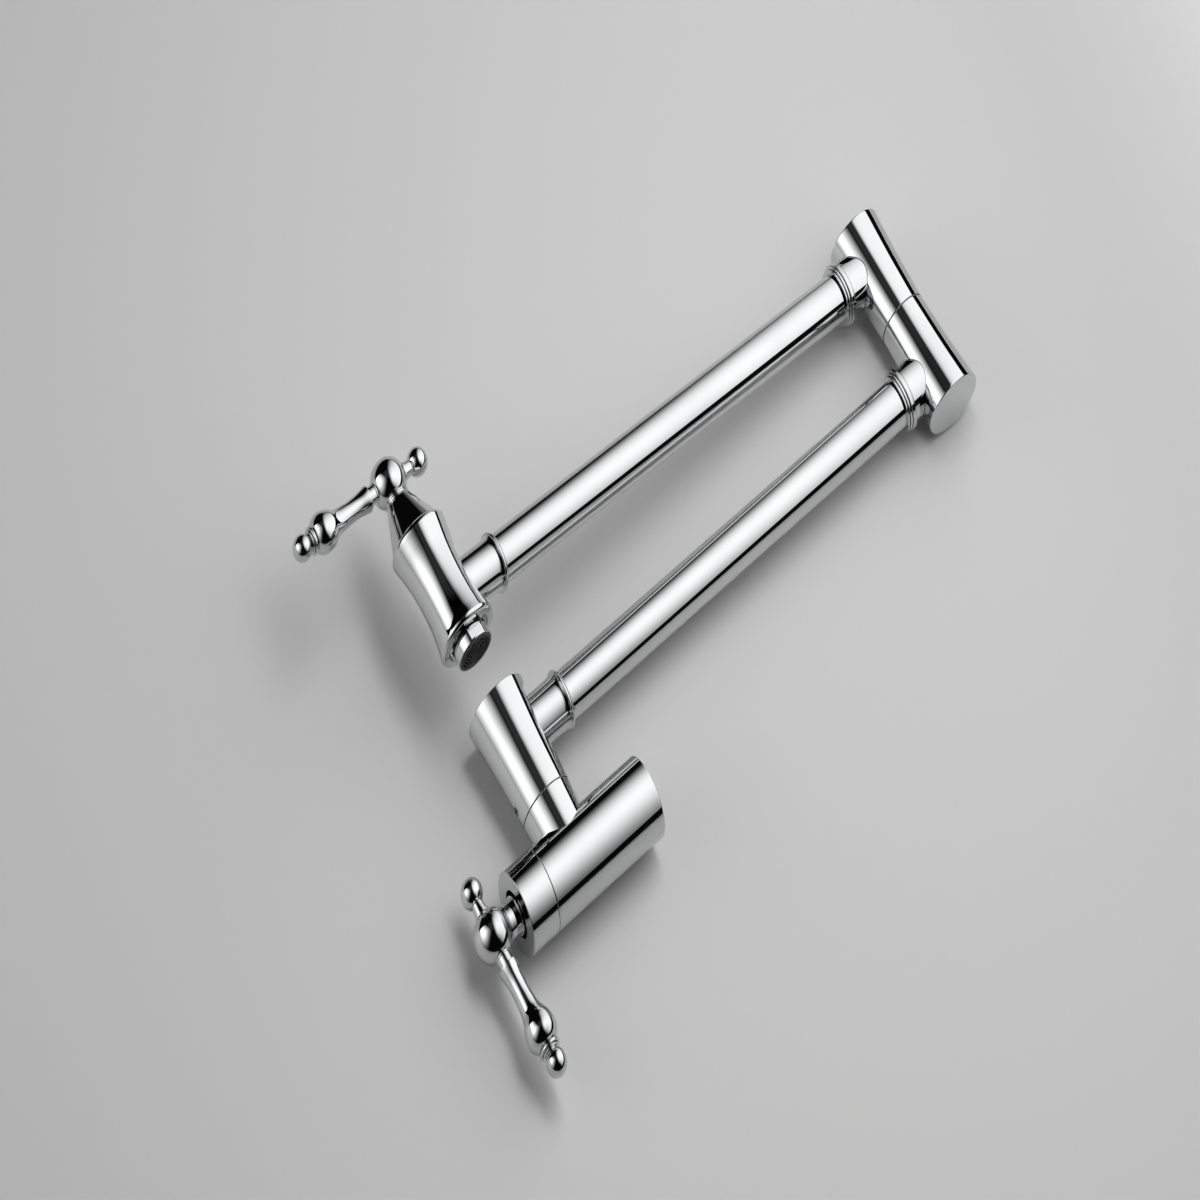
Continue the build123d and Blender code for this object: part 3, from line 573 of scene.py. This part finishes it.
thread = []
for turn in range(7):
    start = 14.6 - turn * 1.9
    thread += [(9.3, start), (9.3, start - 0.5), (10.3, start - 1.05)]
wall_outline = [
    (0, 17), (8.4, 17), (8.4, 14.8), *thread, (9.6, 1.2), (10.9, 0, 0.15), (WALL_RADIUS, 0, 0.6),
    through((WALL_RADIUS, WALL_LENGTH, 0.2)), (15.8, WALL_LENGTH), (15.8, 83), (0, 83),
]
stub_outline = [
    (0, 4), (15.5, 4), (15.5, 9), through((POST_SEAM_RADIUS, SEAM_HEIGHT, 0.15)), (0, SEAM_HEIGHT),
]
bm = cut_mesh(turned_mesh(wall_lathe, wall_outline), turned_mesh(post_lathe, stub_outline), operation="UNION")
finish_piece("wall_body_polished", bm, "wall_mount", "chrome", "wall_body")

# %% Front cover
COVER_FRONT = 93.0
polished(
    "front_cover",
    wall_lathe,
    [
        (15.85, 75.3), (WALL_RADIUS, 75.3, 0.2), through((WALL_RADIUS, COVER_FRONT, 0.3)),
        (10.2, COVER_FRONT, 0.3), (10.2, 90), (15.85, 90),
    ],
    "wall_mount",
    loop=True,
)

# %% [markdown]
# ## Arms
#
# The lower arm starts as a flared barrel on the post. A cutter mills a round flat on its side, and the neck
# of the tube grows from that flat. The elbow has no flat: its sockets meet the barrels directly, and a groove
# 0.6 mm wide and deep draws the dark line round each joint. The groove follows the barrel, because a ring is
# cut deep into it and the barrel is then filled again with a slightly thinner copy of itself.


# %% Necks, flats and screw holes
NECK_RADIUS = 11.8
NECK_END = 33.0
FLAT_RADIUS = 17.8
SCREW_HOLE = 2.05


def neck_mesh(place, start):
    """A neck that flares a little where it meets its ring."""
    flare = through((NECK_RADIUS, 31.4), (12.6, NECK_END))
    return turned_mesh(place, [(0, start), (NECK_RADIUS, start), flare, (0, NECK_END)])


def flat_cutter(place, reach):
    """What mills the round flat beside a neck."""
    depth = reach + 12
    return turned_mesh(place, [(0, reach), (FLAT_RADIUS, reach), (FLAT_RADIUS, depth), (0, depth)])


def screw_cutter(centre, way):
    """The hole through which the retaining screw of a swivel is turned."""
    outline = [(0, 13.5), (SCREW_HOLE, 13.5), (SCREW_HOLE, 24), (0, 24)]
    return turned_mesh(lathe(centre, way, UP), outline, steps=48)


# %% Knuckle on the post
KNUCKLE_FOOT = 29.0
KNUCKLE_TOP = 80.4
POST_SCREW_HEIGHT = 36.1
knuckle = turned_mesh(
    post_lathe,
    [
        (0, KNUCKLE_FOOT), (POST_SEAM_RADIUS, KNUCKLE_FOOT, 0.15),
        through((17.2, 54.7), (19.3, KNUCKLE_TOP, 0.4)), (0, KNUCKLE_TOP),
    ],
)
knuckle = cut_mesh(knuckle, flat_cutter(lower_lathe, 12.4), screw_cutter(POST + UP * POST_SCREW_HEIGHT, OUT))
knuckle = cut_mesh(knuckle, neck_mesh(lower_lathe, 6), operation="UNION")
finish_piece("post_knuckle_polished", knuckle, "lower_arm", "chrome", "post_knuckle")

# %% Thrust washers
ELBOW_SEAM = 91.9
WASHER_BORE = 11.1
WASHER_THICKNESS = 0.6


def thrust_washer(prefix, place, seam, outer):
    """The white washer a swivel turns on, set back far enough that its seam reads as a dark line."""
    node = f"{prefix}_thrust_washer"
    top = seam + WASHER_THICKNESS
    outline = [(WASHER_BORE, seam), (outer, seam, 0.1), (outer, top, 0.1), (WASHER_BORE, top)]
    body = frame["nodes"][node]["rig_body"]
    finish_piece(f"{node}_turned", turned_mesh(place, outline, loop=True), body, "washer_plastic", node)


thrust_washer("post", post_lathe, SEAM_HEIGHT, 14.2)
thrust_washer("elbow", elbow_lathe, ELBOW_SEAM, 13.6)


# %% Elbow halves
ELBOW_WIDE = 18.3
ELBOW_NARROW = 15.7
ELBOW_SCREW_HEIGHT = 99.6
SOCKET_RADIUS = 12.6
SOCKET_END = 24.0
GROOVE = 0.6


def elbow_barrel(foot, top, thinner=0.0):
    """A barrel with a slight waist, rounded at its wide end and crisp at the seam."""
    (low_radius, low), (high_radius, high) = foot, top
    waist = ((low_radius + high_radius) / 2 - 0.4 - thinner, (low + high) / 2)
    first, last = (low_radius - thinner, low + thinner), (high_radius - thinner, high - thinner)
    roundings = (0.7, 0.15) if low_radius > high_radius else (0.15, 0.7)
    return turned_mesh(
        elbow_lathe,
        [(0, first[1]), (*first, roundings[0]), through(waist, (*last, roundings[1])), (0, last[1])],
    )


def elbow_half(node, foot, top, socket_place, body, *cutters):
    """A barrel with its socket and the fine groove between them."""
    groove_inner, groove_outer = 12.0, SOCKET_RADIUS + GROOVE
    groove = turned_mesh(
        socket_place,
        [(groove_inner, 0), (groove_outer, 0), (groove_outer, SOCKET_END), (groove_inner, SOCKET_END)],
        loop=True,
    )
    socket = turned_mesh(
        socket_place,
        [(0, 4), (SOCKET_RADIUS, 4), through((SOCKET_RADIUS, SOCKET_END, 0.2)), (0, SOCKET_END)],
    )
    shell = cut_mesh(elbow_barrel(foot, top), groove)
    whole = cut_mesh(shell, elbow_barrel(foot, top, GROOVE), socket, operation="UNION")
    if cutters:
        whole = cut_mesh(whole, *cutters)
    finish_piece(f"{node}_polished", whole, body, "chrome", node)


elbow_half(
    "elbow_lower", (ELBOW_WIDE, 42.6), (ELBOW_NARROW, ELBOW_SEAM), lower_socket_lathe, "lower_arm"
)
elbow_half(
    "elbow_upper",
    (ELBOW_NARROW, 92.5),
    (ELBOW_WIDE, 141.8),
    upper_socket_lathe,
    "upper_arm",
    screw_cutter(ELBOW + UP * ELBOW_SCREW_HEIGHT, -UPPER_BACK),
)


# %% Tubes and rings
TUBE_RADIUS = 11.0
TUBE_BORE = 9.8
TUBE_START = 35.6
COLLAR_END = 30.6


def rings(inner, *stack):
    """A stack of rings on one sleeve, each given as start, end, radius and rounding."""
    outline = [(TUBE_BORE, stack[0][0])]
    for start, end, radius, rounding in stack:
        outline += [(inner, start), (radius, start, rounding), (radius, end, rounding), (inner, end)]
    return [*outline, (TUBE_BORE, stack[-1][1])]


def arm_fittings(prefix, neck_place, socket_place, reach, body):
    """The tube, the ring at its neck and the stack of rings at its elbow."""
    tube_end = reach - COLLAR_END
    tube = [
        (TUBE_BORE, TUBE_START),
        (TUBE_RADIUS, TUBE_START),
        through((TUBE_RADIUS, tube_end)),
        (TUBE_BORE, tube_end),
    ]
    polished(f"{prefix}_tube", neck_place, tube, body, loop=True)
    neck_rings = rings(11.9, (NECK_END, 34.7, 13.3, 0.6), (34.95, TUBE_START, 12.4, 0.25))
    polished(f"{prefix}_neck_ring", neck_place, neck_rings, body, loop=True)
    collar = rings(
        12.1,
        (24.2, 24.9, 13.2, 0.25),
        (25.1, 27.5, 14.3, 0.35),
        (27.8, 29.1, 13.6, 0.3),
        (29.4, COLLAR_END, 12.9, 0.3),
    )
    polished(f"{prefix}_elbow_collar", socket_place, collar, body, loop=True)


arm_fittings("lower", lower_lathe, lower_socket_lathe, LOWER_REACH, "lower_arm")
arm_fittings("upper", upper_lathe, upper_socket_lathe, UPPER_REACH, "upper_arm")

# %% [markdown]
# ## Outlet
#
# The outlet body is the one barrel with a clear waist. Its side is a single smooth curve, because the dark
# stripe of the room widens and narrows along it and would show every corner. Below it hangs the aerator, a
# screwed shell with two flats for a spanner and a dark plastic screen of fine rings.

# %% Outlet body
OUTLET_FOOT = 101.0
OUTLET_TOP = 156.0
FOOT_RADIUS = 18.2
TOP_RADIUS = 18.4
SHOULDER = 3.2
RIM = 2.0
body_outline = [
    (0, 103.6), (13.7, 103.6), (13.7, OUTLET_FOOT, 0.2), (FOOT_RADIUS - RIM, OUTLET_FOOT),
    arc(FOOT_RADIUS - RIM, OUTLET_FOOT + RIM, 102),
    through(
        (17.1, 108.0), (15.75, 117.5), (15.4, 128.5), (16.1, 139.5), (17.6, 148.6),
        (TOP_RADIUS, OUTLET_TOP - SHOULDER),
    ),
    arc(TOP_RADIUS - SHOULDER, OUTLET_TOP - SHOULDER, 90), (0, OUTLET_TOP),
]
bm = cut_mesh(turned_mesh(outlet_lathe, body_outline), flat_cutter(upper_lathe, 11.2))
bm = cut_mesh(bm, neck_mesh(upper_lathe, 6), operation="UNION")
finish_piece("outlet_body_polished", bm, "upper_arm", "chrome", "outlet_body")

# %% Bonnet
polished(
    "outlet_bonnet",
    outlet_lathe,
    [
        (13.5, 155.0), (15.4, 155.0), (16.3, 155.8), through((7.9, 175.0, 0.3)),
        (4.6, 175.0), (4.6, 172.6), (13.5, 160.5),
    ],
    "upper_arm",
    loop=True,
)

# %% Aerator shell
AERATOR_FOOT = 93.6
FLAT_REACH = 10.6
LIP = 0.35
shell = turned_mesh(
    outlet_lathe,
    [
        (9.3, AERATOR_FOOT + LIP), (11.4, AERATOR_FOOT + LIP, 0.3), (11.4, 101.0),
        (10.3, 101.0), (10.3, 108.6), (9.3, 108.6),
    ],
    loop=True,
)
flats = []
for side in (1, -1):
    block = bmesh.new()
    bmesh.ops.create_cube(block, size=1)
    bmesh.ops.scale(block, vec=(20 * MM, 2 * MM, 4.6 * MM), verts=block.verts)
    bmesh.ops.translate(block, vec=(0, side * (FLAT_REACH + 1) * MM, 97.1 * MM), verts=block.verts)
    bmesh.ops.transform(block, matrix=outlet_lathe, verts=block.verts)
    flats.append(block)
finish_piece("aerator_shell_polished", cut_mesh(shell, *flats), "upper_arm", "chrome", "aerator_shell")

# %% Aerator screen
SCREEN_RADIUS = 9.25
screen = [(0, 95.6), (SCREEN_RADIUS, 95.6), (SCREEN_RADIUS, AERATOR_FOOT + LIP), (11.0, AERATOR_FOOT + LIP)]
screen += [(11.0, AERATOR_FOOT, 0.12), (SCREEN_RADIUS, AERATOR_FOOT, 0.12), (SCREEN_RADIUS - 0.3, 94.9)]
for ring in range(5):
    crest = 8.0 - ring * 1.7
    screen += [(crest + 0.5, 95.0), (crest + 0.25, 93.95), (crest - 0.25, 93.95), (crest - 0.5, 95.0)]
screen += [(0.5, 95.0), (0.25, 94.2), (0, 94.2)]
finish_piece(
    "aerator_screen_ringed",
    turned_mesh(outlet_lathe, screen),
    "upper_arm",
    "screen_plastic",
    "aerator_screen",
)

# %% [markdown]
# ## Handles
#
# Both handles are the same three turned pieces: a ball hub, a long lever that swells towards its end, and a
# short finial opposite. One function makes them, because only the skirt of the hub differs. Each groove
# between two beads is modelled, since a mirror finish turns even a shallow groove into a dark line.


# %% Hub, lever and finial
def handle(prefix, centre, stem, lever_way, skirt_reach, flanged, body):
    """A ball hub with a long lever on one side and a short finial on the other."""
    across = stem.cross(lever_way)
    hub_lathe = lathe(centre, stem, lever_way)
    lever_lathe = lathe(centre, lever_way, across)
    finial_lathe = lathe(centre, -lever_way, across)
    hub_radius, rim = 11.3, 7.7
    rim_angle = math.acos(rim / hub_radius)
    skirt = [(6.2, -skirt_reach, 0.1), (7.4, -skirt_reach, 0.2)]
    if flanged:
        skirt += [(7.4, -16.8), (8.55, -16.8, 0.3), (8.55, -15.4, 0.3), (7.4, -15.4)]
    polished(
        f"{prefix}_handle_hub",
        hub_lathe,
        [
            (0, 3 - skirt_reach), (6.2, 3 - skirt_reach), *skirt, through((7.4, -9.3)), (7.85, -9.3, 0.12),
            (7.85, -8.75, 0.12), (7.4, -8.75), (7.4, -8.45), (rim, -hub_radius * math.sin(rim_angle)),
            arc(0, 0, math.degrees(rim_angle) + 90),
        ],
        body,
    )
    ball_radius, ball_neck, ball_at = 5.95, 4.1, 62.3
    ball_angle = math.acos(ball_neck / ball_radius)
    lever = [
        (0, 6.0), (2.5, 6.0), (2.5, 9.6), (5.0, 9.6), (5.0, 10.7, 0.15), (4.5, 10.7), (4.5, 15.2),
        (6.0, 15.2, 0.25),
        through((5.85, 16.8), (4.98, 22.5), (4.8, 27.0), (5.0, 31.0), (5.9, 37.8), (8.3, 43.0), (9.25, 47.4)),
        through((8.9, 50.0), (7.6, 52.4), (6.2, 53.7), (4.9, 54.4)), (4.5, 54.6), (4.5, 54.9),
        (6.4, 54.9, 0.6), (6.4, 56.5, 0.6), (4.6, 56.5), (4.6, 56.8), (5.4, 56.8, 0.3), (5.4, 57.5, 0.3),
        (ball_neck, 57.5), (ball_neck, ball_at - ball_radius * math.sin(ball_angle)),
        arc(0, ball_at, math.degrees(ball_angle) + 90),
    ]
    polished(f"{prefix}_lever", lever_lathe, lever, body)
    knob_radius, knob_neck, knob_at = 6.5, 3.4, 21.2
    knob_angle = math.acos(knob_neck / knob_radius)
    finial = [
        (0, 6.0), (2.5, 6.0), (2.5, 9.6), (4.8, 9.6), (4.8, 10.8, 0.15), (4.2, 10.8),
        through((3.7, 13.5), (knob_neck, knob_at - knob_radius * math.sin(knob_angle))),
        arc(0, knob_at, math.degrees(knob_angle) + 90),
    ]
    polished(f"{prefix}_finial", finial_lathe, finial, body)


WALL_HUB = OUT * 109.4
OUTLET_HUB = OUTLET + UP * 185.8
handle("wall", WALL_HUB, OUT, -UP, skirt_reach=19.8, flanged=True, body="wall_handle")
handle("outlet", OUTLET_HUB, UP, UPPER_BACK, skirt_reach=10.4, flanged=False, body="outlet_handle")
